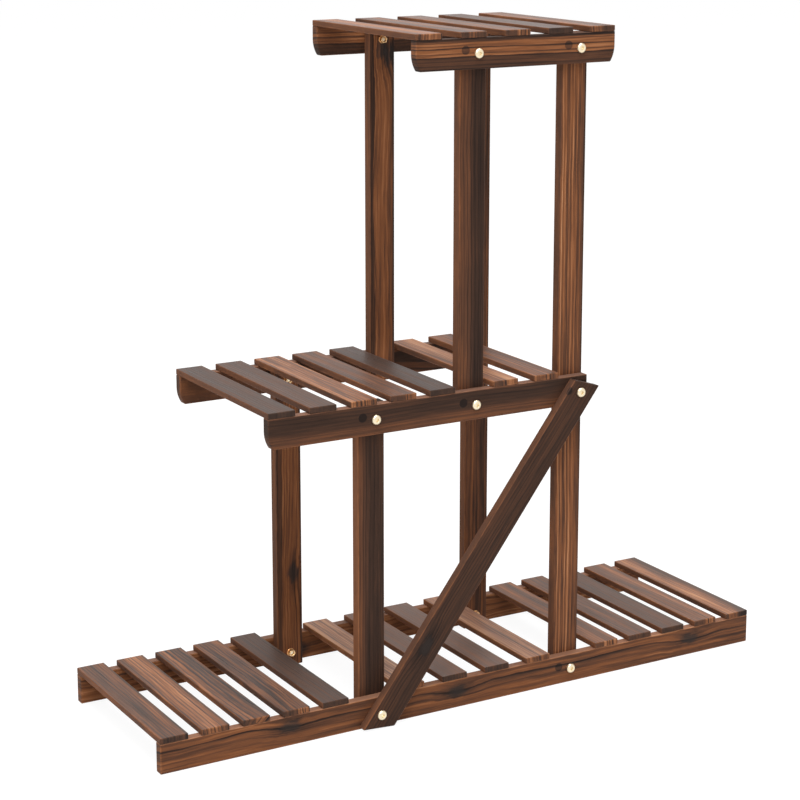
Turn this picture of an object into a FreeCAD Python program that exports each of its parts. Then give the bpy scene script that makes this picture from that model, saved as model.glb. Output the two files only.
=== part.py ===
import FreeCAD, Part
import math
import os

# Three-step slatted plant stand, in millimetres, +Z up.
# The long axis is X, the front is towards -Y, and the origin is on the floor under the middle of the stand.
# The pieces are drawn from the left end of the lower rails (x) and the front face of the front rails (y),
# and each is moved to the origin when it is written.

Vector = FreeCAD.Vector
ALONG_Y = Vector(0, 1, 0)

# Overall sizes
shelf_depth = 250.0
middle_rail_top = 394.0
upper_rail_top = 809.0

# Timber sections
rail_height = 36.0
rail_thickness = 12.0
post_width = 35.0
post_thickness = 14.0
slat_width = 35.0
slat_thickness = 7.0
brace_width = 35.0
brace_thickness = 12.0
edge_ease = 0.8

# Post spacing, centre to centre, and how far each shelf reaches past the posts' outer edges
short_to_upper_post = 136.0
upper_to_tall_post = 142.0
lower_left_reach = 261.5
lower_right_reach = 263.5
middle_left_reach = 121.5
upper_left_reach = 66.0
upper_right_reach = 31.5

# Rounded lower corner of the free rail ends: an arc that starts upright and undercuts the end
nose_radius = 36.0
nose_rise = 20.0

# Slat rows: how many slats, the least gap between them, and the clear space between a row
# and the post beside it
lower_outer_slats = 5
lower_inner_slats = 4
middle_left_slats = 5
middle_right_slats = 2
upper_slats = 5
least_slat_gap = 3.0
lower_outer_clear = 20.0
lower_inner_clear = 13.5
middle_left_clear = 11.0
middle_right_clear = 7.0

# Diagonal brace: its centre line passes a little to the right of both of its bolts
brace_foot_offset = 9.0
brace_head_offset = 2.0
brace_head_run = 13.0
brace_head_slope = 17.3
brace_foot_slope = 3.5
brace_floor_gap = 0.5

# Bolts with domed socket heads, washers and hex nuts, whose round outlines are faceted because they repeat
round_facets = 10
bolt_diameter = 5.0
hole_clearance = 0.5
head_diameter = 12.0
head_height = 3.6
head_rim = 0.8
head_crown_diameter = 5.6
head_shoulder_diameter = 9.8
head_shoulder_height = 2.6
socket_across_flats = 4.0
socket_depth = 2.2
bolt_end_inset = 1.8
washer_diameter = 10.0
washer_thickness = 1.0
nut_across_flats = 8.0
nut_height = 4.7
nut_corner_ease = 0.6
thread_clearance = 0.2

# Brads of flat wire, driven through the slats and set below the surface
brad_width = 1.3
brad_thickness = 1.0
brad_length = 16.0
brad_set = 1.0

# Places that follow from the sizes above
short_post_x = lower_left_reach + post_width / 2
upper_post_x = short_post_x + short_to_upper_post
tall_post_x = upper_post_x + upper_to_tall_post
lower_length = tall_post_x + post_width / 2 + lower_right_reach
middle_left = short_post_x - post_width / 2 - middle_left_reach
middle_right = tall_post_x + post_width / 2
upper_left = upper_post_x - post_width / 2 - upper_left_reach
upper_right = tall_post_x + post_width / 2 + upper_right_reach
hole_radius = (bolt_diameter + hole_clearance) / 2
to_origin = Vector(-lower_length / 2, -(shelf_depth - brace_thickness) / 2, 0)

RAIL_TOPS = {"lower": rail_height, "middle": middle_rail_top, "upper": upper_rail_top}
POSTS = {
    "short": {"x": short_post_x, "bottom": 0.0, "shelves": ("lower", "middle")},
    "upper": {"x": upper_post_x, "bottom": middle_rail_top - rail_height, "shelves": ("middle", "upper")},
    "tall": {"x": tall_post_x, "bottom": 0.0, "shelves": ("lower", "middle", "upper")},
}
BRACED = (("short", "lower"), ("tall", "middle"))


def bolt_height(shelf):
    """Bolts sit at half the height of the rail."""
    return RAIL_TOPS[shelf] - rail_height / 2


def eased(shape):
    """Take the sharp arris off every edge."""
    return shape.makeChamfer(edge_ease, shape.Edges)


def block(x0, x1, y0, y1, z0, z1):
    return Part.makeBox(x1 - x0, y1 - y0, z1 - z0, Vector(x0, y0, z0))


def drilled(shape, places):
    """Bore clearance holes along Y at each (x, z)."""
    box = shape.BoundBox
    bores = [Part.makeCylinder(hole_radius, box.YLength, Vector(x, box.YMin, z), ALONG_Y) for x, z in places]
    return shape.cut(Part.makeCompound(bores))


def polygon(across_flats, sides, height=0.0):
    """A regular outline about the Z axis, with a flat facing +X."""
    corner_radius = across_flats / 2 / math.cos(math.pi / sides)
    angles = [math.pi * (2 * i + 1) / sides for i in range(sides)]
    corners = [Vector(corner_radius * math.cos(a), corner_radius * math.sin(a), height) for a in angles]
    return Part.makePolygon(corners + corners[:1])


def bar_of(across_flats, sides, bottom, top):
    """A straight prism of a regular outline, from bottom to top along Z."""
    return Part.Face(polygon(across_flats, sides, bottom)).extrude(Vector(0, 0, top - bottom))


# Slat rows and brads

def slat_row(wanted, left, right):
    """Left edges of evenly spaced slats, the outer two flush with the row's ends. A short run takes fewer."""
    room = int((right - left + least_slat_gap) / (slat_width + least_slat_gap))
    count = min(wanted, room)
    pitch = (right - left - slat_width) / max(count - 1, 1)
    return [left + i * pitch for i in range(count)]


def slat_rows():
    """The slats' left edges in each row, with the shelf that carries the row."""
    half_post = post_width / 2

    def before(post_x, clear):
        """The end of a row that stops to the left of a post."""
        return post_x - half_post - clear

    def after(post_x, clear):
        """The start of a row that begins to the right of a post."""
        return post_x + half_post + clear

    inner_start = after(short_post_x, lower_inner_clear)
    inner_end = before(tall_post_x, lower_inner_clear)
    pair_start = after(upper_post_x, middle_right_clear)
    pair_end = before(tall_post_x, middle_right_clear)
    runs = {
        "lower_left_slat": (lower_outer_slats, 0, before(short_post_x, lower_outer_clear)),
        "lower_middle_slat": (lower_inner_slats, inner_start, inner_end),
        "lower_right_slat": (lower_outer_slats, after(tall_post_x, lower_outer_clear), lower_length),
        "middle_left_slat": (middle_left_slats, middle_left, before(upper_post_x, middle_left_clear)),
        "middle_right_slat": (middle_right_slats, pair_start, pair_end),
        "upper_slat": (upper_slats, upper_left, upper_right),
    }
    return {row: (row.split("_")[0], slat_row(*run)) for row, run in runs.items()}


def slat_brads(left, shelf):
    """A brad at each end of one slat, over the middle of the rails."""
    top = RAIL_TOPS[shelf] + slat_thickness - brad_set
    x0 = left + (slat_width - brad_width) / 2
    x1 = x0 + brad_width
    brads = []
    for centre_y in (rail_thickness / 2, shelf_depth - rail_thickness / 2):
        y0 = centre_y - brad_thickness / 2
        y1 = centre_y + brad_thickness / 2
        brads.append(block(x0, x1, y0, y1, top - brad_length, top))
    return brads


def slat(left, shelf):
    bottom = RAIL_TOPS[shelf]
    board = eased(block(left, left + slat_width, 0, shelf_depth, bottom, bottom + slat_thickness))
    return board.cut(Part.makeCompound(slat_brads(left, shelf)))


# Rails, posts and brace

def rail_profile(left, right, top, round_left, round_right):
    """Side view of a rail, with the lower corner of a free end undercut by an arc."""
    bottom = top - rail_height
    rise = min(nose_rise, rail_height - 2 * edge_ease, nose_radius)

    def undercut(end, inward):
        """The arc from the upright end to the bottom edge, as three points."""
        centre = Vector(end + inward * nose_radius, 0, bottom + rise)
        full = math.asin(rise / nose_radius)
        turns = (0, full / 2, full)
        return [centre - nose_radius * Vector(inward * math.cos(t), 0, math.sin(t)) for t in turns]

    left_points = undercut(left, 1) if round_left else [Vector(left, 0, bottom)]
    right_points = undercut(right, -1) if round_right else [Vector(right, 0, bottom)]
    top_left = Vector(left, 0, top)
    top_right = Vector(right, 0, top)
    edges = [Part.makeLine(top_left, left_points[0])]
    if round_left:
        edges.append(Part.Arc(*left_points).toShape())
    edges.append(Part.makeLine(left_points[-1], right_points[-1]))
    if round_right:
        edges.append(Part.Arc(*reversed(right_points)).toShape())
    edges.append(Part.makeLine(right_points[0], top_right))
    edges.append(Part.makeLine(top_right, top_left))
    return Part.Face(Part.Wire(edges))


def rail(shelf, left, right, round_left, round_right, rows):
    """A front rail, bored for its posts' bolts and pocketed for the brads of its slats."""
    face = rail_profile(left, right, RAIL_TOPS[shelf], round_left, round_right)
    bar = eased(face.extrude(Vector(0, rail_thickness, 0)))
    bolts = [(post["x"], bolt_height(shelf)) for post in POSTS.values() if shelf in post["shelves"]]
    brads = []
    for row_shelf, lefts in rows.values():
        if row_shelf == shelf:
            for slat_left in lefts:
                brads.extend(slat_brads(slat_left, shelf))
    return drilled(bar, bolts).cut(Part.makeCompound(brads))


def post(name):
    """A front post, inside the front rails and as high as the rail of its top shelf."""
    centre = POSTS[name]["x"]
    shelves = POSTS[name]["shelves"]
    left = centre - post_width / 2
    front = rail_thickness
    top = RAIL_TOPS[shelves[-1]]
    bar = eased(block(left, left + post_width, front, front + post_thickness, POSTS[name]["bottom"], top))
    return drilled(bar, [(centre, bolt_height(shelf)) for shelf in shelves])


def brace():
    """The diagonal in front of the rails, cut on the slant at its head and nearly level at its foot."""
    foot_bolt = Vector(short_post_x, 0, bolt_height("lower"))
    head_bolt = Vector(tall_post_x, 0, bolt_height("middle"))
    foot_centre = foot_bolt + Vector(brace_foot_offset, 0, 0)
    head_centre = head_bolt + Vector(brace_head_offset, 0, 0)
    along = (head_centre - foot_centre).normalize()
    half_width = Vector(-along.z, 0, along.x) * (brace_width / 2)

    def cut_corner(start, slope, edge_point):
        """Where a cut through start, falling to the right by slope degrees, meets a side of the brace."""
        fall = math.tan(math.radians(slope))
        offset = edge_point - start
        step = -(offset.z + fall * offset.x) / (along.z + fall * along.x)
        return edge_point + along * step

    upper_side = head_centre + half_width
    lower_side = head_centre - half_width
    head = head_centre + along * brace_head_run
    head_left = cut_corner(head, brace_head_slope, upper_side)
    head_right = cut_corner(head, brace_head_slope, lower_side)
    foot_right = lower_side + along * ((brace_floor_gap - lower_side.z) / along.z)
    foot_left = cut_corner(foot_right, brace_foot_slope, upper_side)
    outline = Part.makePolygon([foot_left, foot_right, head_right, head_left, foot_left])
    board = eased(Part.Face(outline).extrude(Vector(0, -brace_thickness, 0)))
    return drilled(board, [(foot_bolt.x, foot_bolt.z), (head_bolt.x, head_bolt.z)])


# Hardware, drawn about the Z axis with the bolt's shank pointing up

def bolt(grip):
    """Domed socket bolt whose head is under z = 0 and whose shank ends inside the nut."""
    length = grip + washer_thickness + nut_height - bolt_end_inset
    outlines = (
        (head_diameter, 0),
        (head_diameter, -head_rim),
        (head_shoulder_diameter, -head_shoulder_height),
        (head_crown_diameter, -head_height),
    )
    head = Part.makeLoft([polygon(width, round_facets, z) for width, z in outlines], True, True)
    shank = bar_of(bolt_diameter, round_facets, 0, length)
    socket = bar_of(socket_across_flats, 6, -head_height, socket_depth - head_height)
    return head.fuse(shank).cut(socket)


def washer(grip):
    disc = bar_of(washer_diameter, round_facets, grip, grip + washer_thickness)
    return disc.cut(bar_of(2 * hole_radius, round_facets, grip, grip + washer_thickness))


def nut(grip):
    """Hex nut with the corners of its outer face eased."""
    base = grip + washer_thickness
    outer = base + nut_height
    prism = bar_of(nut_across_flats, 6, base, outer)
    rim = [edge for edge in prism.Edges if edge.BoundBox.ZMin > base + nut_height / 2]
    bore = bar_of(bolt_diameter + thread_clearance, round_facets, base, outer)
    return prism.makeChamfer(nut_corner_ease, rim).cut(bore)


def fitted(shape, x, z, face_y, inward):
    """Turn a piece of hardware to point inward along Y and seat it on the outer face at face_y."""
    shape.rotate(Vector(0, 0, 0), Vector(1, 0, 0), -90 * inward)
    shape.translate(Vector(x, face_y, z))
    return shape


def hardware():
    """Bolts, washers and nuts for every crossing of a rail and a post, like ones grouped together."""
    names = ("lower_bolts", "middle_bolts", "upper_bolts", "brace_bolts", "washers", "nuts")
    groups = {name: [] for name in names}
    joint_grip = rail_thickness + post_thickness
    for name, crossing in POSTS.items():
        for shelf in crossing["shelves"]:
            for face_y, inward in ((0, 1), (shelf_depth, -1)):
                braced = inward > 0 and (name, shelf) in BRACED
                added = brace_thickness if braced else 0
                grip = joint_grip + added
                place = (crossing["x"], bolt_height(shelf), face_y - added, inward)
                bolt_group = "brace_bolts" if braced else shelf + "_bolts"
                groups[bolt_group].append(fitted(bolt(grip), *place))
                groups["washers"].append(fitted(washer(grip), *place))
                groups["nuts"].append(fitted(nut(grip), *place))
    return {name: Part.makeCompound(pieces) for name, pieces in groups.items()}


# The whole stand: one entry for each board, and for each group of like fixings

def stand():
    rows = slat_rows()
    pieces = {}
    rails = {
        "lower": rail("lower", 0, lower_length, False, False, rows),
        "middle": rail("middle", middle_left, middle_right, True, False, rows),
        "upper": rail("upper", upper_left, upper_right, True, True, rows),
    }
    rail_shift = Vector(0, shelf_depth - rail_thickness, 0)
    post_shift = Vector(0, shelf_depth - 2 * rail_thickness - post_thickness, 0)
    for shelf, bar in rails.items():
        pieces[shelf + "_front_rail"] = bar
        pieces[shelf + "_back_rail"] = bar.translated(rail_shift)
    for name in POSTS:
        bar = post(name)
        pieces[name + "_front_post"] = bar
        pieces[name + "_back_post"] = bar.translated(post_shift)
    brads = {shelf: [] for shelf in RAIL_TOPS}
    for row, (shelf, lefts) in rows.items():
        for number, left in enumerate(lefts, 1):
            pieces[f"{row}_{number}"] = slat(left, shelf)
            brads[shelf].extend(slat_brads(left, shelf))
    for shelf, group in brads.items():
        pieces[shelf + "_slat_brads"] = Part.makeCompound(group)
    pieces["diagonal_brace"] = brace()
    pieces.update(hardware())
    return pieces


os.makedirs("parts", exist_ok=True)
for name, shape in stand().items():
    shape.translated(to_origin).exportStep(os.path.join("parts", name + ".step"))
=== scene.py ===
import math

import bmesh
import bpy
from mathutils import Matrix, Vector


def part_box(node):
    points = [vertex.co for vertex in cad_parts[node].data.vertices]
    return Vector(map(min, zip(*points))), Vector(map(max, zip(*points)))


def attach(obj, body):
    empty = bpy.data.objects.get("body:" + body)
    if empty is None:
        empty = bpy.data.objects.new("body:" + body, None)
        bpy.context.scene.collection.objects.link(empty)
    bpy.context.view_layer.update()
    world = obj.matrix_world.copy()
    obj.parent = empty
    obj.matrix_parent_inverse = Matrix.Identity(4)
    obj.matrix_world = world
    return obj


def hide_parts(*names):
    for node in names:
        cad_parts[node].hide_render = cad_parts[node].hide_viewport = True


# A stepped plant stand of scorched fir boards, held together by pale brass-plated bolts.
# Lengths are in metres, apart from those of the wood's pattern, which are in millimetres.
# The front is towards -Y, and the steps rise towards +X.

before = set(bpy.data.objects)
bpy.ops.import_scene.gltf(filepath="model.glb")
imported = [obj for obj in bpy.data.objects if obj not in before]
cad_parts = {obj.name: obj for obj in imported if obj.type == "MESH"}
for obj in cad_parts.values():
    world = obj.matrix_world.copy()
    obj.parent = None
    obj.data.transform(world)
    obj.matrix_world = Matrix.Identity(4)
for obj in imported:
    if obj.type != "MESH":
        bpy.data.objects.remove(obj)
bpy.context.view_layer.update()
MM = 0.001

# Bolts, washers and nuts
head_radius = 6 * MM
head_height = 3.6 * MM
head_rim = 0.7 * MM
crown_radius = 2.9 * MM
socket_across_flats = 4 * MM
socket_depth = 2.2 * MM
shank_radius = 2.5 * MM
bore_radius = 2.75 * MM
washer_radius = 5 * MM
washer_thickness = 1 * MM
nut_across_flats = 8 * MM
nut_height = 4.7 * MM
nut_bore_radius = 2.6 * MM
nut_face_radius = 0.47 * nut_across_flats
nut_cone_slope = 1.75
nut_cone_steps = 5
bolt_end_inset = 1.8 * MM
edge_round = 0.2 * MM
round_segments = 48
dome_steps = 8
sharp_angle = math.radians(32)

# Boards
slat_arris = 0.9 * MM
slat_arris_steps = 3
slat_end_taper = 1.4
arris_round = 0.3 * MM
arris_steps = 2
eased_angles = (math.radians(35), math.radians(55))
flat_angle = math.radians(1)
flat_facing = 0.995
end_facing = 0.99
weld_distance = 1e-6
brace_foot_offset = 9 * MM
brace_head_offset = 2 * MM

# Painted shadow of the bolt heads: dark round discs painted into the wood's colour, beside and a little
# above the front bolts
shadow_across = -17.5 * MM
shadow_up = 4.2 * MM

# Stage, camera and light
floor_reach = 12.0
floor_glow = 0.92
floor_shade = 0.14
floor_grey = 0.8
studio_fill = 0.55
white = (1.0, 1.0, 1.0, 1.0)
camera_place = Vector((-1.3068, -2.1896, 1.0106))
camera_azimuth = math.radians(30.066)
camera_pitch = math.radians(11.842)
camera_lens = 95.88
camera_sensor = 36.0
camera_shift_y = -0.12


# Node trees

class Nodes:
    """Adds nodes to a tree. A socket given as an input is linked, and a plain value is set."""

    def __init__(self, tree):
        self.tree = tree

    def feed(self, socket, value):
        if isinstance(value, bpy.types.NodeSocket):
            self.tree.links.new(value, socket)
        else:
            socket.default_value = value

    def add(self, kind, inputs=(), **settings):
        made = self.tree.nodes.new(kind)
        for name, value in settings.items():
            setattr(made, name, value)
        for key, value in dict(inputs).items():
            self.feed(made.inputs[key], value)
        return made

    def math(self, operation, *values):
        made = self.add("ShaderNodeMath", operation=operation)
        for socket, value in zip(made.inputs, values):
            self.feed(socket, value)
        return made.outputs[0]

    def total(self, first, *others):
        for value in others:
            first = self.math("ADD", first, value)
        return first

    def times(self, first, *others):
        for value in others:
            first = self.math("MULTIPLY", first, value)
        return first

    def less(self, value, loss):
        return self.math("SUBTRACT", value, loss)

    def vector(self, operation, *values):
        made = self.add("ShaderNodeVectorMath", operation=operation)
        for socket, value in zip(made.inputs, values):
            self.feed(socket, value)
        return made.outputs["Value" if operation == "LENGTH" else "Vector"]

    def part(self, vector):
        """The three numbers of a vector."""
        return self.add("ShaderNodeSeparateXYZ", {"Vector": vector}).outputs

    def join(self, x, y, z):
        return self.add("ShaderNodeCombineXYZ", {"X": x, "Y": y, "Z": z}).outputs[0]

    def ease(self, value, start, end, low=0.0, high=1.0):
        """Goes smoothly from low at start to high at end."""
        limits = {"Value": value, "From Min": start, "From Max": end, "To Min": low, "To Max": high}
        return self.add("ShaderNodeMapRange", limits, interpolation_type="SMOOTHSTEP").outputs[0]

    def dimmed(self, trait, rest):
        """1 where a trait is absent, going smoothly to rest where it is full."""
        return self.ease(trait, 0.0, 1.0, 1.0, rest)

    def noise(self, vector, detail=2.0, roughness=0.5):
        """Cloudy noise about zero, one cell for each unit of the vector."""
        made = self.add("ShaderNodeTexNoise", {
            "Vector": vector, "Scale": 1.0, "Detail": detail, "Roughness": roughness,
        })
        return self.less(made.outputs[0], 0.5)

    def bands(self, distance):
        """Uneven bands about zero along a single distance."""
        made = self.add("ShaderNodeTexNoise", noise_dimensions="1D")
        for name, value in (("W", distance), ("Scale", 1.0), ("Detail", 1.0)):
            self.feed(made.inputs[name], value)
        return self.less(made.outputs[0], 0.5)


def new_group(name, kind, sockets):
    """An empty node group with named inputs and outputs, and the nodes that carry them."""
    tree = bpy.data.node_groups.new(name, kind)
    for label, in_out, socket, value in sockets:
        made = tree.interface.new_socket(label, in_out=in_out, socket_type=socket)
        if value is not None:
            made.default_value = value
    nodes = Nodes(tree)
    return tree, nodes, nodes.add("NodeGroupInput").outputs, nodes.add("NodeGroupOutput").inputs


def new_material(name):
    material = bpy.data.materials.new(name)
    material.use_nodes = True
    nodes = Nodes(material.node_tree)
    return material, nodes, material.node_tree.nodes["Principled BSDF"]


def linear(red, green, blue):
    """A colour given as it looks on a screen, 0 to 255, as the shader wants it."""
    channels = [value / 255 for value in (red, green, blue)]
    return [c / 12.92 if c <= 0.04045 else ((c + 0.055) / 1.055) ** 2.4 for c in channels] + [1.0]


# Scorched fir. The pattern is solid: growth rings about a pith line, so that faces, sides and ends agree.
# Its vector is in millimetres from the board's middle: X along the grain, Y across the width and Z through
# the board. A strength is a share of the way along FIR_COLOURS, from char to bare wood.

FAR_AWAY = (9000.0, 0.0, 0.0)
FIR_INPUTS = (
    ("Vector", "NodeSocketVector", None),
    ("Half size", "NodeSocketVector", (100.0, 17.0, 5.0)),
    ("Seed", "NodeSocketFloat", 0.0),
    ("Tone", "NodeSocketFloat", 0.4),
    ("Lines", "NodeSocketFloat", 0.2),
    ("Ring width", "NodeSocketFloat", 4.5),
    ("Bands", "NodeSocketFloat", 0.5),
    ("Wander", "NodeSocketFloat", 5.0),
    ("Pith", "NodeSocketVector", (0.0, 60.0, 5.0)),
    ("Char", "NodeSocketFloat", 0.0),
    ("Char from", "NodeSocketFloat", -5.0),
    ("Char to", "NodeSocketFloat", 5.0),
    ("Edge shade", "NodeSocketFloat", 0.0),
    ("Edge from", "NodeSocketFloat", 13.5),
    ("Edge to", "NodeSocketFloat", 15.5),
    ("Knot A", "NodeSocketVector", FAR_AWAY),
    ("Knot B", "NodeSocketVector", FAR_AWAY),
    ("Knot C", "NodeSocketVector", FAR_AWAY),
    # Centres of the painted shadows of the bolt heads, dark round discs in the colour
    ("Bolt shadow A", "NodeSocketVector", FAR_AWAY),
    ("Bolt shadow B", "NodeSocketVector", FAR_AWAY),
    ("Bare end", "NodeSocketVector", (0.0, -9.0, 0.0)),
    ("Worn", "NodeSocketFloat", 0.1),
    # Painted sheen: grey painted on the planed faces, standing in for their reflection at grazing angles
    ("Ash", "NodeSocketFloat", 0.0),
    # Painted reflection haze on a rail's top narrow side
    ("Top painted sheen", "NodeSocketFloat", 0.0),
    ("Noses", "NodeSocketVector", (0.0, 0.0, 0.0)),
)
FIR_OUTPUTS = (
    ("Colour", "NodeSocketColor"),
    ("Roughness", "NodeSocketFloat"),
    ("Planed", "NodeSocketFloat"),
    ("Height", "NodeSocketFloat"),
)
FIR_COLOURS = (
    (0.00, (34, 24, 20)),
    (0.20, (59, 41, 32)),
    (0.40, (90, 58, 41)),
    (0.60, (126, 78, 48)),
    (0.80, (155, 103, 68)),
    (1.00, (179, 130, 93)),
)
# The grey of the painted sheen and of the ash on knots
ASH_AND_SHEEN_GREY = (135, 128, 124)
KNOTS = ("Knot A", "Knot B", "Knot C")
BOLT_SHADOWS = ("Bolt shadow A", "Bolt shadow B")

# What moves the noises from board to board
seed_step = 17.3
seed_shift = (1.0, 1.7, 0.6)

# Cells of the noises, in millimetres along and across the grain
sway_cell = (190, 90)
waver_cell = (42, 18)
fray_cell = (12, 5)
fibre_cell = (34, 0.75)
soot_cell = (130, 10)
wear_cell = (15, 6)
streak_cell = (90, 3.0)
band_width = 17
ring_fade_length = 120

# Growth rings: how the grain wanders, how ring widths drift, and where in a ring its dark line lies
sway_share = 2.0
waver_share = 0.5
ring_drift = 1.4
ring_drift_rate = 0.37
line_rise = (0.45, 0.85)
line_fall = (1.0, 0.93)
line_least = 0.4
line_chance = 1.15
line_fading = 1.3
broad_share = 0.6
streak_share = 1.3

# Knots and painted bolt-head shadows: their reach along, across and through a board, their full core, and
# the grain round a knot
swing_reach = (60, 22, 40)
knot_reach = (17, 10, 60)
knot_tail_reach = (42, 12, 60)
shadow_reach = (6.0, 5.8, 3.5)
knot_core = 0.4
shadow_core = 0.8
knot_swing = 6.0
knot_fray = 9.0
fray_stretch = 2.0

# Depths in millimetres over which narrow sides, sawn ends and brushed arrises set in
side_depths = (0.9, 0.2)
end_depths = (1.2, 0.5)
arris_depths = (1.7, 0.4)
arris_wander = 3.0

# Rounded rail ends
rail_height = 36.0
nose_rise = 20.0
nose_radius = 36.0

# Char: its ragged edges in millimetres, and what is left of it and of the rings in some places
char_ragged = 9.0
edge_ragged = 3.0
full_char = 0.4
char_on_sides = 0.15
rings_in_char = 0.4
rings_on_sides = 0.45
rings_on_ends = 0.4

# Strengths
fibre_lift = 0.2
soot_lift = 0.38
bare_end_lift = 0.06
knot_loss = 0.22
knot_tail_loss = 0.2
# How much the painted bolt-head shadows darken the colour
shadow_loss = 0.26
end_loss = 0.3
side_tone = 0.51
side_pull = 0.75
# A little grey on narrow sides and sawn ends
side_grey = 0.06
knot_ash = 0.045

# Surface
plain_roughness = 0.42
soot_roughness = 0.3
fibre_roughness = 0.2
line_roughness = -0.08
line_height = 0.5
streak_height = 0.4
grain_strength = 0.35
grain_depth = 0.35 * MM
sawn_gloss = 0.01
planed_gloss = 0.055
sheen_roughness = 0.5


def spot_group():
    """A soft oval patch round a centre: 1 inside, 0 outside."""
    tree, nodes, given, out = new_group("soft_patch", "ShaderNodeTree", (
        ("Vector", "INPUT", "NodeSocketVector", None),
        ("Centre", "INPUT", "NodeSocketVector", None),
        ("Reach", "INPUT", "NodeSocketVector", (10.0, 10.0, 1000.0)),
        ("Core", "INPUT", "NodeSocketFloat", 0.5),
        ("Patch", "OUTPUT", "NodeSocketFloat", None),
    ))
    away = nodes.vector("DIVIDE", nodes.vector("SUBTRACT", given["Vector"], given["Centre"]), given["Reach"])
    nodes.feed(out["Patch"], nodes.ease(nodes.vector("LENGTH", away), 1.0, given["Core"]))
    return tree


class FirPattern:
    """The finish's node group, built one trait at a time. Each trait is a socket."""

    def __init__(self):
        sockets = [(label, "INPUT", kind, value) for label, kind, value in FIR_INPUTS]
        sockets += [(label, "OUTPUT", kind, None) for label, kind in FIR_OUTPUTS]
        self.tree, n, self.given, self.out = new_group("scorched_fir_pattern", "ShaderNodeTree", sockets)
        self.n = n
        self.patch_tree = spot_group()
        self.place = self.given["Vector"]
        self.x, self.y, self.z = n.part(self.place)
        self.seed = n.times(self.given["Seed"], seed_step)
        self.shift = n.join(*[n.times(self.seed, share) for share in seed_shift])
        self.grain()
        self.latewood()
        self.streaks()
        self.faces()
        self.bare_end()
        self.char()
        self.calm()
        self.knots_and_bolt_shadows()
        self.colour()
        self.surface()

    def cloud(self, cell, detail=2.0, roughness=0.5):
        """Noise in cells of this length and width, moved by the board's seed."""
        along, across = cell
        scaled = self.n.vector("MULTIPLY", self.place, (1 / along, 1 / across, 1 / across))
        return self.n.noise(self.n.vector("ADD", scaled, self.shift), detail, roughness)

    def patch(self, vector, centre, reach, core=0.0):
        """A soft oval patch round one of the given places."""
        made = self.n.add("ShaderNodeGroup", node_tree=self.patch_tree)
        inputs = {"Vector": vector, "Centre": self.given[centre], "Reach": reach, "Core": core}
        for name, value in inputs.items():
            self.n.feed(made.inputs[name], value)
        return made.outputs[0]

    def grain(self):
        """Growth rings. The grain wanders along the board and swings round the knots, whose edges fray."""
        n, given = self.n, self.given
        fray = n.times(self.cloud(fray_cell), knot_fray)
        self.frayed = n.vector("ADD", self.place, n.join(n.times(fray, fray_stretch), fray, 0.0))
        sway = n.times(self.cloud(sway_cell, detail=1), given["Wander"], sway_share)
        waver = n.times(self.cloud(waver_cell), given["Wander"], waver_share)
        swings = [n.times(self.patch(self.frayed, knot, swing_reach), knot_swing) for knot in KNOTS]
        self.across = n.total(self.y, sway, waver, *swings)
        pith_slope, pith_y, pith_z = n.part(given["Pith"])
        sideways = n.less(self.across, pith_y)
        depth = n.less(self.z, n.total(pith_z, n.times(self.x, pith_slope)))
        self.radius = n.math("SQRT", n.total(n.times(sideways, sideways), n.times(depth, depth)))

    def latewood(self):
        """A thin line at the outer edge of each ring, of uneven strength."""
        n = self.n
        ring = n.math("DIVIDE", self.radius, self.given["Ring width"])
        drift = n.bands(n.total(n.times(ring, ring_drift_rate), self.seed))
        ring = n.total(ring, n.times(drift, ring_drift))
        within = n.math("FRACT", ring)
        number = n.total(n.math("FLOOR", ring), self.seed)
        chance = n.add("ShaderNodeTexWhiteNoise", {"W": number}, noise_dimensions="1D").outputs["Value"]
        fading = n.noise(n.join(n.times(self.x, 1 / ring_fade_length), number, 0.0), detail=1)
        strength = n.total(n.times(chance, line_chance), n.times(fading, line_fading), line_least)
        line = n.times(n.ease(within, *line_rise), n.ease(within, *line_fall))
        self.line = n.times(line, n.math("MAXIMUM", strength, 0.0))

    def streaks(self):
        """Broad bands and narrow streaks that follow the rings, fine fibres, and soot."""
        n = self.n
        broad = n.bands(n.total(n.times(self.radius, 1 / band_width), self.seed))
        along, across = streak_cell
        streaked = n.join(n.times(self.x, 1 / along), n.times(self.radius, 1 / across), self.seed)
        self.streak = n.noise(streaked, detail=4, roughness=0.65)
        self.band = n.total(n.times(broad, broad_share), n.times(self.streak, streak_share))
        self.fibre = self.cloud(fibre_cell, detail=3, roughness=0.6)
        self.soot = self.cloud(soot_cell, detail=4, roughness=0.6)

    def faces(self):
        """Narrow sides, sawn ends with their rounded noses, planed broad faces and brushed arrises."""
        n = self.n
        room = n.part(n.vector("SUBTRACT", self.given["Half size"], n.vector("ABSOLUTE", self.place)))
        edge = n.math("MINIMUM", n.total(room[0], room[1]), n.total(room[1], room[2]))
        edge = n.math("MINIMUM", edge, n.total(room[0], room[2]))
        self.worn = n.ease(n.total(edge, n.times(self.cloud(wear_cell), arris_wander)), *arris_depths)
        self.side = n.ease(room[1], *side_depths)
        drop = n.math("MAXIMUM", n.less(nose_rise - rail_height / 2, self.y), 0.0)
        noses = n.part(self.given["Noses"])
        nosed = n.ease(self.x, -1.0, 1.0, noses[0], noses[1])
        inset = n.times(drop, drop, 0.5 / nose_radius, nosed)
        self.sawn = n.ease(n.less(room[0], inset), *end_depths)
        self.planed = n.times(n.dimmed(self.side, 0.0), n.dimmed(self.sawn, 0.0))

    def bare_end(self):
        """Bare end grain: part of the sawn end kept its own colour and clear ring lines."""
        n = self.n
        centre, half, self.bare_lift = n.part(self.given["Bare end"])
        off_centre = n.math("ABSOLUTE", n.less(self.y, centre))
        self.bare = n.times(n.ease(n.less(off_centre, half), 1.0, -1.0), self.sawn)

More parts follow.
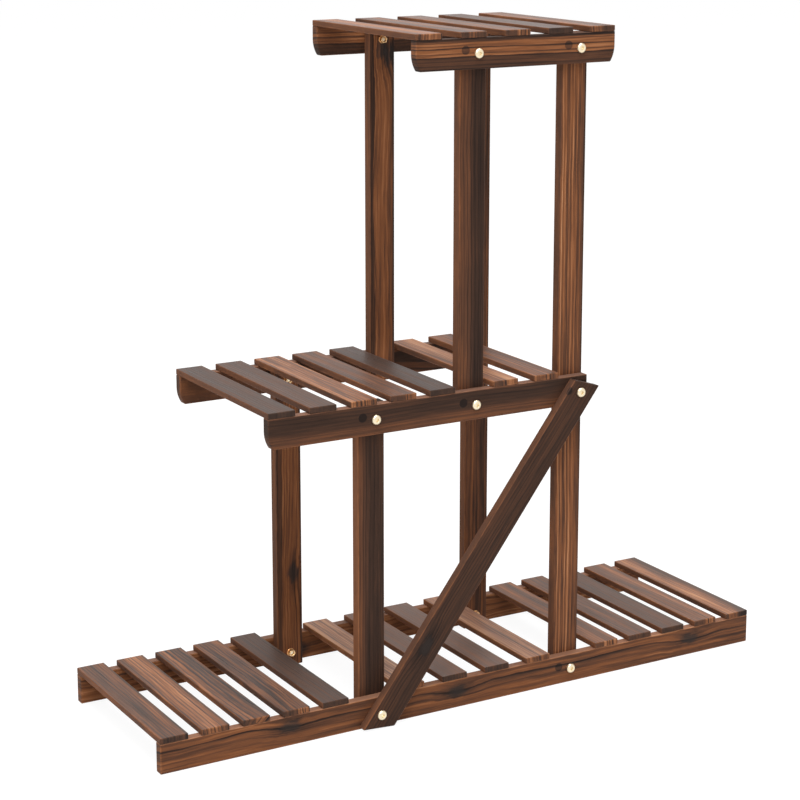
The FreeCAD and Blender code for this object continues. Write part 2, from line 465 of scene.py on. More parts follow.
    def char(self):
        """Char on part of the board, less on its narrow sides, and a stripe or worn strip along one edge."""
        n, given = self.n, self.given
        ragged = n.total(self.across, n.times(self.streak, char_ragged))
        charred = n.ease(ragged, given["Char from"], given["Char to"])
        self.scorch = n.times(charred, n.dimmed(self.side, char_on_sides), given["Char"])
        uneven = n.total(self.y, n.times(self.streak, edge_ragged))
        self.edging = n.ease(uneven, given["Edge from"], given["Edge to"])

    def calm(self):
        """Rings and bands show less in char, on the narrow sides and on sooty ends."""
        n = self.n
        sooty_end = n.less(self.sawn, self.bare)
        shown = n.times(
            n.ease(self.scorch, 0.0, full_char, 1.0, rings_in_char),
            n.dimmed(self.side, rings_on_sides),
            n.dimmed(sooty_end, rings_on_ends),
        )
        self.line = n.times(self.line, shown)
        self.band = n.times(self.band, shown)

    def knots_and_bolt_shadows(self):
        """Frayed dark knots with long tails, and the painted shadows of the bolt heads: dark round discs
        beside the front bolts.
        """
        n = self.n
        self.knots = n.total(*[self.patch(self.frayed, knot, knot_reach, knot_core) for knot in KNOTS])
        tails = n.total(*[self.patch(self.frayed, knot, knot_tail_reach) for knot in KNOTS])
        # Painted shadows of the bolt heads: dark round discs beside the front bolts
        marks = n.total(*[self.patch(self.place, mark, shadow_reach, shadow_core) for mark in BOLT_SHADOWS])
        self.spots = n.total(
            n.times(self.knots, knot_loss),
            n.times(tails, knot_tail_loss),
            n.times(marks, shadow_loss),
        )

    def tone(self):
        """Where the wood lies on the scale of colours."""
        n, given = self.n, self.given
        lift = n.total(
            given["Tone"],
            n.times(self.band, given["Bands"]),
            n.times(self.fibre, fibre_lift),
            n.times(self.soot, soot_lift),
            n.times(self.worn, given["Worn"]),
            n.times(self.bare, n.total(self.bare_lift, bare_end_lift)),
        )
        loss = n.total(
            n.times(self.line, n.total(given["Lines"], n.times(self.bare, self.bare_lift))),
            self.scorch,
            n.times(self.edging, given["Edge shade"]),
            n.times(n.less(given["Tone"], side_tone), side_pull, self.side),
            n.times(given["Tone"], end_loss, self.sawn),
            self.spots,
        )
        return n.less(lift, loss)

    def ash_and_sheen(self):
        """Grey over the colour: a painted sheen on the planed faces, thicker where the soot is, a little
        grey on narrow sides and ends, a painted reflection haze on the top narrow side, and ash on the
        knots.
        """
        n, given = self.n, self.given
        # Painted reflection haze: grey painted on the top narrow side
        top_side = n.times(self.side, n.ease(self.y, -1.0, 1.0))
        return n.total(
            n.times(given["Ash"], self.planed, n.less(1.0, self.soot)),
            n.ease(self.planed, 0.0, 1.0, side_grey, 0.0),
            n.times(top_side, given["Top painted sheen"]),
            n.times(self.knots, knot_ash),
        )

    def colour(self):
        """The wood's colour, greyed by ash and by painted sheen."""
        ramp = self.n.add("ShaderNodeValToRGB", {"Fac": self.tone()})
        stops = ramp.color_ramp.elements
        for position, colour in FIR_COLOURS[1:-1]:
            stops.new(position)
        for stop, (position, colour) in zip(stops, FIR_COLOURS):
            stop.position = position
            stop.color = linear(*colour)
        greyed_colour = self.n.add("ShaderNodeMixRGB", {"Fac": self.ash_and_sheen(), "Color1": ramp.outputs[0]})
        greyed_colour.inputs["Color2"].default_value = linear(*ASH_AND_SHEEN_GREY)
        self.n.feed(self.out["Colour"], greyed_colour.outputs[0])

    def surface(self):
        """Roughness, the share of planed face, and the height of the grain."""
        n = self.n
        rough = n.total(
            plain_roughness,
            n.times(self.soot, soot_roughness),
            n.times(self.fibre, fibre_roughness),
            n.times(self.line, line_roughness),
        )
        height = n.total(n.times(self.line, line_height), self.fibre, n.times(self.streak, streak_height))
        n.feed(self.out["Roughness"], rough)
        n.feed(self.out["Planed"], self.planed)
        n.feed(self.out["Height"], height)


FIR = FirPattern().tree


def scorched_fir(name, centre, turn, half_size, look):
    """The finish of one board, with its grain along the turned X axis."""
    material, nodes, shader = new_material("scorched_fir_" + name)
    board = nodes.add("ShaderNodeMapping", vector_type="TEXTURE")
    board.inputs["Location"].default_value = centre
    board.inputs["Rotation"].default_value = turn.to_euler()
    board.inputs["Scale"].default_value = (MM, MM, MM)
    nodes.feed(board.inputs["Vector"], nodes.add("ShaderNodeTexCoord").outputs["Object"])
    pattern = nodes.add("ShaderNodeGroup", node_tree=FIR)
    nodes.feed(pattern.inputs["Vector"], board.outputs[0])
    pattern.inputs["Half size"].default_value = half_size
    for label, value in look.items():
        pattern.inputs[label].default_value = value
    nodes.feed(shader.inputs["Base Color"], pattern.outputs["Colour"])
    nodes.feed(shader.inputs["Roughness"], pattern.outputs["Roughness"])
    bump = nodes.add("ShaderNodeBump", {"Height": pattern.outputs["Height"]})
    bump.inputs["Strength"].default_value = grain_strength
    bump.inputs["Distance"].default_value = grain_depth
    nodes.feed(shader.inputs["Normal"], bump.outputs[0])
    gloss = nodes.ease(pattern.outputs["Planed"], 0.0, 1.0, sawn_gloss, planed_gloss)
    nodes.feed(shader.inputs["Specular IOR Level"], gloss)
    nodes.feed(shader.inputs["Sheen Weight"], gloss)
    shader.inputs["Sheen Roughness"].default_value = sheen_roughness
    return material


# Ways a board can look, named for its colour. Negative lines are light ones.
SOOTY = {"Tone": 0.25, "Lines": 0.10, "Bands": 0.24, "Worn": 0.04}
UMBER = {"Tone": 0.36, "Lines": 0.12, "Bands": 0.65}
RUSSET = {"Tone": 0.48, "Lines": 0.14, "Bands": 0.75}
STRIPED = {"Tone": 0.62, "Lines": 0.26, "Bands": 1.0}
GOLDEN = {"Tone": 0.78, "Lines": 0.22, "Bands": 0.9}

# The pith's slope along the board, and its place across and through it
UPRIGHT_RINGS = (0.0, -58.0, 3.0)
LONG_RINGS = (0.0, -46.0, 6.0)
SLANT_RINGS = (0.02, -34.0, -24.0)
FLAT_RINGS = (0.03, 4.0, -26.0)

LEFT_NOSE = {"Noses": (1.0, 0.0, 0.0)}
BOTH_NOSES = {"Noses": (1.0, 1.0, 0.0)}


def bare_end(lift, centre=0.0, half=18.0):
    """End grain lighter by lift over a stretch across the board, by default its whole width."""
    return {"Bare end": (centre, half, lift)}


def char(strength, start, end):
    """Char that sets in between two places across the board."""
    return {"Char": strength, "Char from": start, "Char to": end}


def edge(shade, start, end):
    """A darker strip that sets in between two places across the board, or a lighter one below zero."""
    return {"Edge shade": shade, "Edge from": start, "Edge to": end}


# Painted sheen on each shelf's slat tops: grey standing in for reflection at grazing angles, more on the
# lower middle slats, which lie in the shade of the shelves above
SLAT_PAINTED_SHEEN = {
    "lower_left": 0.08,
    "lower_middle": 0.23,
    "lower_right": 0.12,
    "middle_left": 0.02,
    "middle_right": 0.0,
    "upper": 0.0,
}
SLAT_LOOKS = {
    "lower_left_slat_1": {**RUSSET, "Tone": 0.43, **bare_end(-0.12), **edge(0.14, -13.0, -15.0)},
    "lower_left_slat_2": {**STRIPED, "Tone": 0.61, "Bands": 0.85, **bare_end(0.05)},
    "lower_left_slat_3": {
        **RUSSET, "Tone": 0.41, "Lines": 0.24, "Bands": 1.0,
        "Ring width": 7.0, "Wander": 10.0, "Pith": SLANT_RINGS, **bare_end(0.25, -8.0, 9.0),
    },
    "lower_left_slat_4": {
        **UMBER, "Tone": 0.45, "Lines": 0.26, "Bands": 0.95, "Wander": 8.0, **bare_end(0.3, -9.0, 8.0),
    },
    "lower_left_slat_5": {**SOOTY, "Tone": 0.30},
    "lower_middle_slat_1": {**STRIPED, "Tone": 0.88, "Bands": 1.5},
    "lower_middle_slat_2": {**SOOTY, "Tone": 0.47, **bare_end(-0.2)},
    "lower_middle_slat_3": {**SOOTY, "Tone": 0.48, **bare_end(-0.22)},
    "lower_middle_slat_4": {**STRIPED, "Tone": 0.78, **bare_end(-0.1)},
    "lower_right_slat_1": {**UMBER, "Tone": 0.49, **bare_end(0.3, -6.0, 10.0)},
    "lower_right_slat_2": {**UMBER, "Tone": 0.40},
    "lower_right_slat_3": {**SOOTY, "Tone": 0.30},
    "lower_right_slat_4": {**RUSSET, "Tone": 0.48, **bare_end(0.2, -8.0, 8.0)},
    "lower_right_slat_5": {**GOLDEN, "Tone": 0.66, **bare_end(-0.16), **char(0.32, 0.0, -8.0)},
    "middle_left_slat_1": {**SOOTY, "Tone": 0.24},
    "middle_left_slat_2": {**SOOTY, "Tone": 0.29},
    "middle_left_slat_3": {**STRIPED, "Tone": 0.64, "Bands": 1.3, **bare_end(0.05)},
    "middle_left_slat_4": {**UMBER, "Tone": 0.41, **bare_end(0.25, -9.0, 8.0)},
    "middle_left_slat_5": SOOTY,
    "middle_right_slat_1": {**STRIPED, "Tone": 0.72, **bare_end(-0.1)},
    "middle_right_slat_2": {**RUSSET, "Tone": 0.50, **bare_end(0.1)},
    "upper_slat_1": {**RUSSET, "Tone": 0.53, **bare_end(0.1)},
    "upper_slat_2": {**UMBER, "Tone": 0.40, **bare_end(0.15, 3.0, 6.0)},
    "upper_slat_3": {**RUSSET, "Tone": 0.40, **bare_end(0.28, -8.0, 9.0)},
    "upper_slat_4": {**SOOTY, "Tone": 0.29},
    "upper_slat_5": {**RUSSET, "Tone": 0.46, **bare_end(0.12, 8.0, 8.0)},
}
# Top ash paints a grey reflection haze on a rail's top narrow side
BOARD_LOOKS = {
    "lower_front_rail": {
        **RUSSET, "Tone": 0.49, "Lines": 0.22, "Bands": 0.6,
        "Pith": LONG_RINGS, "Wander": 8.0, "Ring width": 9.5, "Worn": 0.16, "Top painted sheen": 0.16,
        **bare_end(0.06), **edge(-0.16, 16.6, 17.4),
        "Knot A": (-255.0, 5.0, 0.0), "Knot B": (-27.0, 3.0, 0.0), "Knot C": (324.0, 4.0, 0.0),
    },
    "lower_back_rail": {
        **RUSSET, "Tone": 0.70, "Lines": 0.12,
        "Pith": LONG_RINGS, "Wander": 8.0, "Ring width": 7.0, "Top painted sheen": 0.2,
        **bare_end(-0.06), "Knot A": (-120.0, -4.0, 0.0),
    },
    "middle_front_rail": {
        **RUSSET, "Tone": 0.44, "Lines": 0.1, "Bands": 0.2, "Top painted sheen": 0.16,
        **LEFT_NOSE, **bare_end(0.06), **char(0.22, -9.0, -4.0), **edge(-0.06, 16.6, 17.4),
    },
    "middle_back_rail": {
        **RUSSET, "Tone": 0.36, "Bands": 0.4, "Top painted sheen": 0.16,
        **LEFT_NOSE, **bare_end(0.06), "Pith": FLAT_RINGS, "Wander": 9.0,
    },
    "upper_front_rail": {
        **STRIPED, "Tone": 0.63, "Lines": 0.30, "Bands": 0.7, "Wander": 2.5, "Ring width": 4.6,
        **BOTH_NOSES, **bare_end(0.08), **char(0.36, -1.0, -4.0), **edge(0.34, 13.5, 15.0),
    },
    "upper_back_rail": {
        **STRIPED, "Tone": 0.57, "Bands": 0.7,
        **BOTH_NOSES, **bare_end(0.08), **char(0.32, -2.0, -6.0),
    },
    "short_front_post": {
        **UMBER, "Tone": 0.40, "Bands": 0.25, **edge(-0.12, -16.6, -17.4), **char(0.2, -14.0, -2.0),
    },
    "upper_front_post": {**RUSSET, "Tone": 0.42, "Lines": 0.12, "Bands": 0.25, **char(0.26, -6.0, 4.0)},
    "tall_front_post": {
        **STRIPED, "Tone": 0.44, "Lines": -0.26, "Bands": 0.7, "Wander": 3.0, "Ring width": 5.0,
        **char(0.26, 13.0, 15.5), **edge(0.04, -16.6, -17.4),
    },
    "short_back_post": {
        **RUSSET, "Tone": 0.60, "Lines": 0.17, "Bands": 0.6,
        "Ring width": 4.0, "Pith": SLANT_RINGS, "Wander": 9.0, "Knot A": (-75.0, 5.0, 0.0),
        **char(0.28, -9.0, -12.0), **edge(0.26, 13.5, 15.5),
    },
    "upper_back_post": {
        **RUSSET, "Tone": 0.48, "Lines": -0.16, "Bands": 0.6,
        "Ring width": 5.0, "Pith": SLANT_RINGS, "Wander": 6.0,
        "Knot A": (196.0, 0.0, 0.0), "Knot B": (188.0, 9.0, 0.0),
        **char(0.28, -9.0, -12.0), **edge(0.26, 13.5, 15.5),
    },
    "tall_back_post": {**RUSSET, "Tone": 0.40, "Bands": 0.6, "Pith": SLANT_RINGS, "Wander": 4.0},
    "diagonal_brace": {**SOOTY, "Tone": 0.245, "Worn": 0.14, "Knot A": (-128.0, 3.0, 0.0)},
}


def metal(name, colour, roughness):
    """Plated metal with a faint cloudiness and fine rub marks."""
    cloud_cells = (420.0, 420.0, 420.0)
    cloud_range = (-0.22, 0.12)
    cloud_roughness = 0.25
    dulling = 0.9
    rub_cells = (5200.0, 900.0, 1700.0)
    rub_strength = 0.12
    rub_depth = 0.05 * MM
    material, nodes, shader = new_material(name)
    place = nodes.add("ShaderNodeTexCoord").outputs["Object"]
    cloud = nodes.noise(nodes.vector("MULTIPLY", place, cloud_cells), detail=3)
    rub = nodes.noise(nodes.vector("MULTIPLY", place, rub_cells))
    bright = linear(*colour)
    dull = [channel * dulling for channel in bright[:3]] + [1.0]
    plating = nodes.add("ShaderNodeMixRGB", {
        "Fac": nodes.ease(cloud, *cloud_range), "Color1": dull, "Color2": bright,
    })
    nodes.feed(shader.inputs["Base Color"], plating.outputs[0])
    nodes.feed(shader.inputs["Roughness"], nodes.total(roughness, nodes.times(cloud, cloud_roughness)))
    bump = nodes.add("ShaderNodeBump", {"Height": rub})
    bump.inputs["Strength"].default_value = rub_strength
    bump.inputs["Distance"].default_value = rub_depth
    nodes.feed(shader.inputs["Normal"], bump.outputs[0])
    shader.inputs["Metallic"].default_value = 1.0
    return material


BRASS = metal("pale_brass_plating", (246, 230, 198), 0.34)
NUT_BRASS = metal("yellow_brass_plating", (243, 199, 146), 0.3)
STEEL = metal("bright_wire_steel", (196, 196, 198), 0.35)


# Pieces

def keep(piece, slot, *nodes):
    """A finished piece takes the place of its solids."""
    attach(piece, "root")
    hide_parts(*nodes)


def new_object(name, mesh):
    made = bpy.data.objects.new(name, mesh)
    bpy.context.scene.collection.objects.link(made)
    return made


def axes(along, across):
    """The turn that lays X along the grain and Y across the width of a board."""
    along, across = Vector(along).normalized(), Vector(across).normalized()
    return Matrix((along, across, along.cross(across))).transposed()


RAIL_TURN = axes((1, 0, 0), (0, 0, 1))
POST_TURN = axes((0, 0, 1), (1, 0, 0))
SLAT_TURN = axes((0, 1, 0), (-1, 0, 0))


def in_board(node, turn):
    """The middle of a board, and its half length, half width and half thickness."""
    points = [turn.transposed() @ vertex.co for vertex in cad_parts[node].data.vertices]
    low = Vector(min(point[i] for point in points) for i in range(3))
    high = Vector(max(point[i] for point in points) for i in range(3))
    return turn @ ((low + high) / 2), (high - low) / 2


def fir_for(node, turn, look, seed, **extra):
    centre, half = in_board(node, turn)
    whole_look = {"Pith": UPRIGHT_RINGS, "Seed": float(seed), **look, **extra}
    return scorched_fir(node, centre, turn, half / MM, whole_look)


def smooth_arrises(mesh):
    """Soft shading on the narrow rounded arrises only, so that the broad faces stay flat."""
    for face in mesh.polygons:
        face.use_smooth = max(abs(v) for v in face.normal) < flat_facing


# Bolted crossings of rails and posts

SHELVES_OF = {
    "short": ("lower", "middle"),
    "upper": ("middle", "upper"),
    "tall": ("lower", "middle", "upper"),
}
BRACED = (("short", "lower"), ("tall", "middle"))


def crossings():
    """Each crossing's bolt group, the board under the bolt's head, and the bolt's seat, turn and grip."""
    found = []
    for post, shelves in SHELVES_OF.items():
        for shelf in shelves:
            for side, turn in (("front", 0.0), ("back", math.pi)):
                bearer = f"{shelf}_{side}_rail"
                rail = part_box(bearer)
                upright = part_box(f"{post}_{side}_post")
                middle = (upright[0] + upright[1]) / 2
                height = (rail[0].z + rail[1].z) / 2
                braced = side == "front" and (post, shelf) in BRACED
                if braced:
                    bearer = "diagonal_brace"
                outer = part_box(bearer)
                face, inner = (outer[0].y, upright[1].y) if side == "front" else (outer[1].y, upright[0].y)
                group = "brace_bolts" if braced else shelf + "_bolts"
                found.append((group, bearer, Vector((middle.x, face, height)), turn, abs(inner - face)))
    return found


CROSSINGS = crossings()
# Front bolts, each with a painted shadow of its head beside it
SHADOWING_BOLTS = [(bearer, place) for group, bearer, place, turn, grip in CROSSINGS if turn == 0.0]


def brace_turn():
    """The turn of the brace, whose centre line passes to the right of both of its bolts."""
    foot, head = [place for group, bearer, place, turn, grip in CROSSINGS if group == "brace_bolts"]
    run = head.x + brace_head_offset - foot.x - brace_foot_offset
    rise = head.z - foot.z
    return axes((run, 0, rise), (-rise, 0, run))


def painted_bolt_shadows(node, turn):
    """The painted shadows of the bolt heads on a front board, in its own millimetres, from the bolts whose
    heads bear on it.
    """
    centre = in_board(node, turn)[0]
    places = [seat for name, seat in SHADOWING_BOLTS if name == node]
    spots = [turn.transposed() @ (seat + Vector((shadow_across, 0, shadow_up)) - centre) / MM for seat in places]
    return dict(zip(BOLT_SHADOWS, spots))


# Rails, posts and brace

def softened(node):
    """A board as its solid has it, with bores and pockets, and with its eased edges rounded."""
    mesh = bpy.data.meshes.new(node)
    form = bmesh.new()
    form.from_mesh(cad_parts[node].data)
    bmesh.ops.remove_doubles(form, verts=form.verts, dist=weld_distance)
    bmesh.ops.dissolve_limit(form, angle_limit=flat_angle, verts=form.verts, edges=form.edges)
    least, most = eased_angles
    eased = [e for e in form.edges if e.is_manifold and least < e.calc_face_angle() < most]
    bmesh.ops.bevel(
        form, geom=eased, offset=arris_round, segments=arris_steps, profile=0.5,
        affect="EDGES", clamp_overlap=True,
    )
    form.to_mesh(mesh)
    form.free()
    return mesh


def boards():
    turns = {"rail": RAIL_TURN, "post": POST_TURN, "brace": brace_turn()}
    for seed, (node, look) in enumerate(BOARD_LOOKS.items(), 41):
        turn = turns[node.split("_")[-1]]
        piece = new_object("board_" + node, softened(node))
        piece.data.materials.clear()
        # Each front board also gets the painted shadows of its bolt heads
        piece.data.materials.append(fir_for(node, turn, look, seed, **painted_bolt_shadows(node, turn)))
        smooth_arrises(piece.data)
        keep(piece, "scorched_fir", node)


boards()


# Slats: a rounded section drawn along the slat, with eased ends

def slat_tree():
    tree, nodes, given, out = new_group("slat", "GeometryNodeTree", (
        ("Width", "INPUT", "NodeSocketFloat", 0.035),
        ("Length", "INPUT", "NodeSocketFloat", 0.25),
        ("Thickness", "INPUT", "NodeSocketFloat", 0.007),
        ("Arris", "INPUT", "NodeSocketFloat", slat_arris),
        ("Centre", "INPUT", "NodeSocketVector", None),
        ("Material", "INPUT", "NodeSocketMaterial", None),
        ("Geometry", "OUTPUT", "NodeSocketGeometry", None),
    ))
    section = nodes.add("GeometryNodeCurvePrimitiveQuadrilateral", {
        "Width": given["Width"], "Height": given["Thickness"],
    })
    rounded = nodes.add("GeometryNodeFilletCurve", {
        "Curve": section.outputs[0], "Radius": given["Arris"], "Count": slat_arris_steps,
    }, mode="POLY")
    body_half = nodes.less(nodes.times(given["Length"], 0.5), given["Arris"])
    line = nodes.add("GeometryNodeCurvePrimitiveLine", {
        "Start": nodes.join(0.0, nodes.times(body_half, -1.0), 0.0),
        "End": nodes.join(0.0, body_half, 0.0),
    })
    body = nodes.add("GeometryNodeCurveToMesh", {
        "Curve": line.outputs[0], "Profile Curve": rounded.outputs[0], "Fill Caps": True,
    })
    shape = eased_ends(nodes, body.outputs[0], given)
    moved = nodes.add("GeometryNodeTransform", {"Geometry": shape, "Translation": given["Centre"]})
    finish_tree(nodes, moved.outputs[0], given, out)
    return tree


def eased_ends(nodes, body, given):
    """Draws out both ends of a slat's body and narrows them by its arris."""
    facing = nodes.math("ABSOLUTE", nodes.part(nodes.add("GeometryNodeInputNormal").outputs[0])[1])
    is_end = nodes.add("FunctionNodeCompare", {"A": facing, "B": end_facing}, operation="GREATER_THAN")
    ends = nodes.add("GeometryNodeExtrudeMesh", {
        "Mesh": body, "Selection": is_end.outputs[0], "Offset Scale": given["Arris"], "Individual": False,
    })
    shape = ends.outputs["Mesh"]
    taper = nodes.times(given["Arris"], slat_end_taper)
    for axis, size in (((1, 0, 0), given["Width"]), ((0, 0, 1), given["Thickness"])):
        trimmed = nodes.less(1.0, nodes.math("DIVIDE", taper, size))
        scaled = nodes.add("GeometryNodeScaleElements", {
            "Geometry": shape, "Selection": ends.outputs["Top"], "Scale": trimmed, "Axis": axis,
        }, scale_mode="SINGLE_AXIS")
        shape = scaled.outputs[0]
    return shape


def finish_tree(nodes, shape, given, out):
    """Ends a geometry tree with a plain mesh in its given material."""
    real = nodes.add("GeometryNodeRealizeInstances", {"Geometry": shape})
    finished = nodes.add("GeometryNodeSetMaterial", {
        "Geometry": real.outputs[0], "Material": given["Material"],
    })
    nodes.feed(out["Geometry"], finished.outputs[0])


def grown(name, tree, values, seats=()):
    """Runs a geometry tree on seats, each a place and a turn about Z, and returns a plain mesh object."""
    points = bpy.data.meshes.new(name + "_points")
    points.from_pydata([place for place, turn in seats], [], [])
    turns = points.attributes.new("turn", "FLOAT", "POINT")
    for entry, (place, turn) in zip(turns.data, seats):
        entry.value = turn
    source = new_object(name + "_source", points)
    modifier = source.modifiers.new("grow", "NODES")
    modifier.node_group = tree
    for item in tree.interface.items_tree:
        if item.in_out == "INPUT" and item.name in values:
            modifier[item.identifier] = values[item.name]
    ready = source.evaluated_get(bpy.context.evaluated_depsgraph_get())
    mesh = bpy.data.meshes.new_from_object(ready)
    source.modifiers.clear()
    bpy.data.objects.remove(source)
    return new_object(name, mesh)


def slats():
    tree = slat_tree()
    for seed, (node, look) in enumerate(SLAT_LOOKS.items(), 3):
        centre, half = in_board(node, SLAT_TURN)
        shelf_part = node.split("_slat")[0]
        # Slat tops get their shelf's painted sheen
        piece = grown("board_" + node, tree, {
            "Length": 2 * half.x, "Width": 2 * half.y, "Thickness": 2 * half.z, "Centre": centre,
            "Material": fir_for(node, SLAT_TURN, look, seed, Ash=SLAT_PAINTED_SHEEN[shelf_part]),
        })
        smooth_arrises(piece.data)
        keep(piece, "scorched_fir", node)


slats()


# Hardware, drawn about the Y axis with the bolt's head towards -Y and its bearing face at y = 0

def circle(radius):
    return lambda angle: radius


def hexagon(across_flats, limit=math.inf):
    """A hexagon, cut back to a circle where it reaches past the limit."""
    def reach(angle):
        from_flat = angle % (math.pi / 3) - math.pi / 6
        return min(across_flats / 2 / math.cos(from_flat), limit)
    return reach


def turned_form(name, rings, closed_loop):
    """A form made of rings, each a place along Y and an outline. An open row is capped at both ends."""
    angles = [2 * math.pi * i / round_segments for i in range(round_segments)]
    form = bmesh.new()
    rows = []
    for along, outline in rings:
        spots = [(outline(a) * math.cos(a), along, outline(a) * math.sin(a)) for a in angles]
        rows.append([form.verts.new(spot) for spot in spots])
    pairs = list(zip(rows, rows[1:]))
    if closed_loop:
        pairs.append((rows[-1], rows[0]))
    else:
        form.faces.new(rows[0])
        form.faces.new(rows[-1])
    for one, two in pairs:
        for i in range(round_segments):
            j = (i + 1) % round_segments
            form.faces.new((one[i], one[j], two[j], two[i]))
    bmesh.ops.recalc_face_normals(form, faces=form.faces)
    mesh = bpy.data.meshes.new(name)
    form.to_mesh(mesh)
    form.free()
    mesh.set_sharp_from_angle(angle=sharp_angle)
    return new_object(name, mesh)


def dome():
    """The rings of a bolt's head, from its crown to its rim."""
    rise = head_height - head_rim
    spread = head_radius - crown_radius
    steps = [math.pi / 2 * i / dome_steps for i in range(dome_steps + 1)]
    return [(-head_rim - rise * math.cos(t), circle(crown_radius + spread * math.sin(t))) for t in steps]


def bolt_form(grip):
    """Domed socket bolt, whose shank ends inside its nut."""
    end = grip + washer_thickness + nut_height - bolt_end_inset
    return turned_form("bolt", [
        (socket_depth - head_height, hexagon(socket_across_flats)),
        (edge_round - head_height, hexagon(socket_across_flats)),
        (-head_height, circle(socket_across_flats / 2 + 2 * edge_round)),
        *dome(),
        (-edge_round, circle(head_radius)),
        (0.0, circle(head_radius - edge_round)),
        (0.0, circle(shank_radius)),
        (end - 2 * edge_round, circle(shank_radius)),
        (end, circle(shank_radius - 2 * edge_round)),
    ], False)


def washer_form():
    return turned_form("washer", [
        (0.0, circle(bore_radius)),
        (0.0, circle(washer_radius - edge_round)),
        (edge_round, circle(washer_radius)),
        (washer_thickness - edge_round, circle(washer_radius)),
        (washer_thickness, circle(washer_radius - edge_round)),
        (washer_thickness, circle(bore_radius)),
    ], True)


def nut_form():
    """Hex nut whose corners are cut back by a cone at both ends."""
    def corner(from_end):
        return hexagon(nut_across_flats, nut_face_radius + nut_cone_slope * from_end)

    cone = [i * edge_round for i in range(nut_cone_steps)]
    return turned_form("nut", [
        (0.0, circle(nut_bore_radius)),
        *[(step, corner(step)) for step in cone],
        *[(nut_height - step, corner(step)) for step in reversed(cone)],
        (nut_height, circle(nut_bore_radius + 2 * edge_round)),
        (nut_height - 2 * edge_round, circle(nut_bore_radius)),
    ], True)


def fixing_tree():
    """Sets one fixing on every seat, faces it as the seat is turned, and leaves it at a chance angle."""
    tree, nodes, given, out = new_group("fixings", "GeometryNodeTree", (
        ("Seats", "INPUT", "NodeSocketGeometry", None),
        ("Fixing", "INPUT", "NodeSocketObject", None),
        ("Chance", "INPUT", "NodeSocketInt", 5),
        ("Material", "INPUT", "NodeSocketMaterial", None),
        ("Geometry", "OUTPUT", "NodeSocketGeometry", None),
    ))
    chance = {"Max": 2 * math.pi, "Seed": given["Chance"]}
    spin = nodes.add("FunctionNodeRandomValue", chance, data_type="FLOAT")
    turn = nodes.add("GeometryNodeInputNamedAttribute", {"Name": "turn"}, data_type="FLOAT")
    facing = nodes.join(0.0, spin.outputs["Value"], turn.outputs["Attribute"])
    form = nodes.add("GeometryNodeObjectInfo", {"Object": given["Fixing"], "As Instance": True})
    set_out = nodes.add("GeometryNodeInstanceOnPoints", {
        "Points": given["Seats"], "Instance": form.outputs["Geometry"], "Rotation": facing,
    })
    finish_tree(nodes, set_out.outputs[0], given, out)
    return tree


def fixings():
    tree = fixing_tree()
    seats = {}
    forms = {"washers": washer_form(), "nuts": nut_form()}
    for group, bearer, place, turn, grip in CROSSINGS:
        inward = Vector((0, math.cos(turn), 0))
        if group not in forms:
            forms[group] = bolt_form(grip)
        seats.setdefault(group, []).append((place, turn))
        seats.setdefault("washers", []).append((place + inward * grip, turn))
        seats.setdefault("nuts", []).append((place + inward * (grip + washer_thickness), turn))
    for chance, (group, places) in enumerate(seats.items(), 2):
        plating = BRASS if group.endswith("bolts") else NUT_BRASS
        values = {"Fixing": forms[group], "Chance": chance, "Material": plating}
        piece = grown("fixing_" + group, tree, values, places)
        keep(piece, "brass_plated_steel", group)
    for form in forms.values():
        bpy.data.objects.remove(form)


fixings()

for node in ("lower_slat_brads", "middle_slat_brads", "upper_slat_brads"):
    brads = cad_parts[node]
    brads.data.materials.clear()
    brads.data.materials.append(STEEL)


# Stage: white floor, soft studio light, camera

def seen_directly(nodes):
    """1 for what the camera, a reflection or a clear piece shows, 0 for light that falls on the stand."""
    path = nodes.add("ShaderNodeLightPath").outputs
    seen = nodes.math("MAXIMUM", path["Is Camera Ray"], path["Is Glossy Ray"])
    return nodes.math("MAXIMUM", seen, path["Is Transmission Ray"])


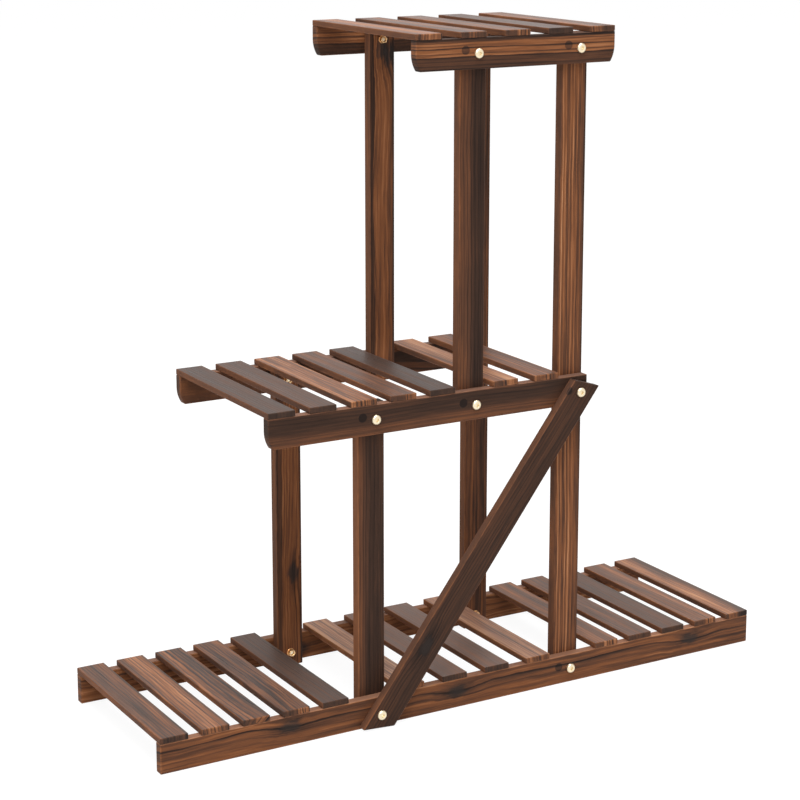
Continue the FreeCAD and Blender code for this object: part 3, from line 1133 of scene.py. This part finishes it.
def white_floor():
    """A floor that looks white and keeps the stand's shadow, but lights the stand as a plain one does."""
    near, far = -floor_reach, floor_reach
    corners = [(near, near, 0), (far, near, 0), (far, far, 0), (near, far, 0)]
    mesh = bpy.data.meshes.new("floor")
    mesh.from_pydata(corners, [], [(0, 1, 2, 3)])
    floor = new_object("floor", mesh)
    material, nodes, shader = new_material("white_floor")
    shader.inputs["Base Color"].default_value = (floor_grey, floor_grey, floor_grey, 1.0)
    shader.inputs["Roughness"].default_value = 1.0
    shader.inputs["Specular IOR Level"].default_value = 0.0
    glow = nodes.add("ShaderNodeEmission", {"Color": white, "Strength": floor_glow})
    shaded = nodes.add("ShaderNodeBsdfDiffuse", {"Color": (floor_shade, floor_shade, floor_shade, 1.0)})
    bright = nodes.add("ShaderNodeAddShader")
    nodes.feed(bright.inputs[0], glow.outputs[0])
    nodes.feed(bright.inputs[1], shaded.outputs[0])
    choice = nodes.add("ShaderNodeMixShader", {"Fac": seen_directly(nodes)})
    nodes.feed(choice.inputs[1], shader.outputs[0])
    nodes.feed(choice.inputs[2], bright.outputs[0])
    nodes.feed(material.node_tree.nodes["Material Output"].inputs["Surface"], choice.outputs[0])
    mesh.materials.append(material)


def studio_world():
    world = bpy.data.worlds.new("white_studio")
    bpy.context.scene.world = world
    world.use_nodes = True
    nodes = Nodes(world.node_tree)
    sky = world.node_tree.nodes["Background"]
    sky.inputs["Color"].default_value = white
    nodes.feed(sky.inputs["Strength"], nodes.ease(seen_directly(nodes), 0.0, 1.0, studio_fill, 1.0))


def soft_lamp(name, place, aim, width, power):
    lamp = bpy.data.lights.new(name, "AREA")
    lamp.shape = "DISK"
    lamp.size = width
    lamp.energy = power
    made = new_object(name, lamp)
    made.location = place
    made.rotation_euler = (Vector(aim) - Vector(place)).to_track_quat("-Z", "Y").to_euler()


def camera():
    data = bpy.data.cameras.new("camera")
    data.sensor_width = camera_sensor
    data.lens = camera_lens
    data.shift_y = camera_shift_y
    made = new_object("camera", data)
    made.location = camera_place
    made.rotation_euler = (math.pi / 2 - camera_pitch, 0.0, -camera_azimuth)
    bpy.context.scene.camera = made


white_floor()
studio_world()
soft_lamp("key", place=(-1.6, -2.2, 3.0), aim=(0, 0, 0.4), width=2.2, power=50.0)
soft_lamp("top", place=(-0.2, -0.4, 5.2), aim=(0, 0, 0.4), width=4.0, power=245.0)
soft_lamp("back", place=(1.6, 2.6, 3.5), aim=(0, 0, 0.2), width=2.6, power=36.0)
camera()
bpy.context.scene.view_settings.view_transform = "Standard"
